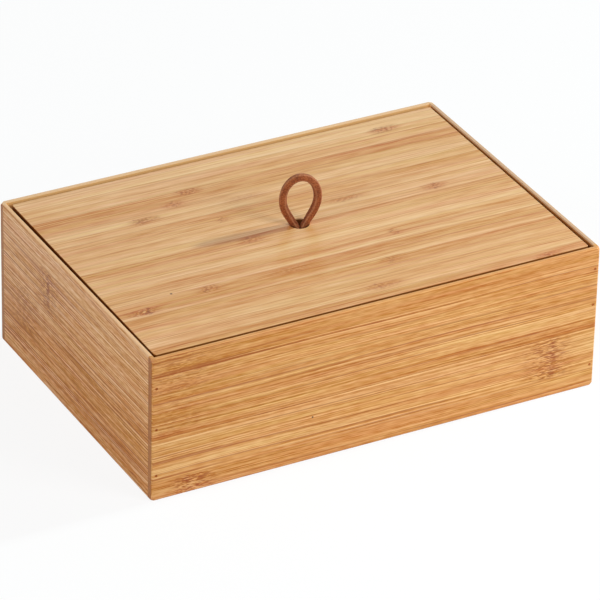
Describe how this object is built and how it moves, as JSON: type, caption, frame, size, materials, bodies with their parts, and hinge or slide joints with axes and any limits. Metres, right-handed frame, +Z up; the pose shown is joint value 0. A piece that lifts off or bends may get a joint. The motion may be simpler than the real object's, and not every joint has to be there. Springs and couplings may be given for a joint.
{
  "type": "storage box",
  "caption": "Small bamboo storage box with pinned corner joints, a base held in a groove, a drop-in lid and a leather loop pull that turns in its hole.",
  "frame": {"origin": "centre of the box's footprint, on the surface it stands on", "axes": "+X along the long side, to the right seen from the front; -Y is the front; +Z up, the way the lid lifts"},
  "size_m": [0.22, 0.1522, 0.0959],
  "materials": {
    "board_bamboo": "flat-pressed bamboo, oiled, satin",
    "lid_bamboo": "edge-pressed bamboo, oiled, satin",
    "base_bamboo": "thin pressed bamboo, sanded",
    "brad_steel": "darkened steel",
    "pull_leather": "brown suede cord"
  },
  "bodies": {
    "box": {"front_board": "board_bamboo", "back_board": "board_bamboo", "left_board": "board_bamboo", "right_board": "board_bamboo", "base_panel": "base_bamboo", "front_left_pins": "brad_steel", "front_right_pins": "brad_steel", "back_left_pins": "brad_steel", "back_right_pins": "brad_steel"},
    "lid": {"lid_panel": "lid_bamboo"},
    "pull": {"leather_pull": "pull_leather"}
  },
  "joints": [
    {"name": "lid_lift", "type": "slide", "parent": "box", "child": "lid", "axis": [0, 0, 1], "range_m": [0, 0.08]},
    {"name": "pull_turn", "type": "hinge", "parent": "lid", "child": "pull", "pos_m": [0.0008, 0.0008, 0.0705], "axis": [0, 0, 1], "continuous": true}
  ]
}
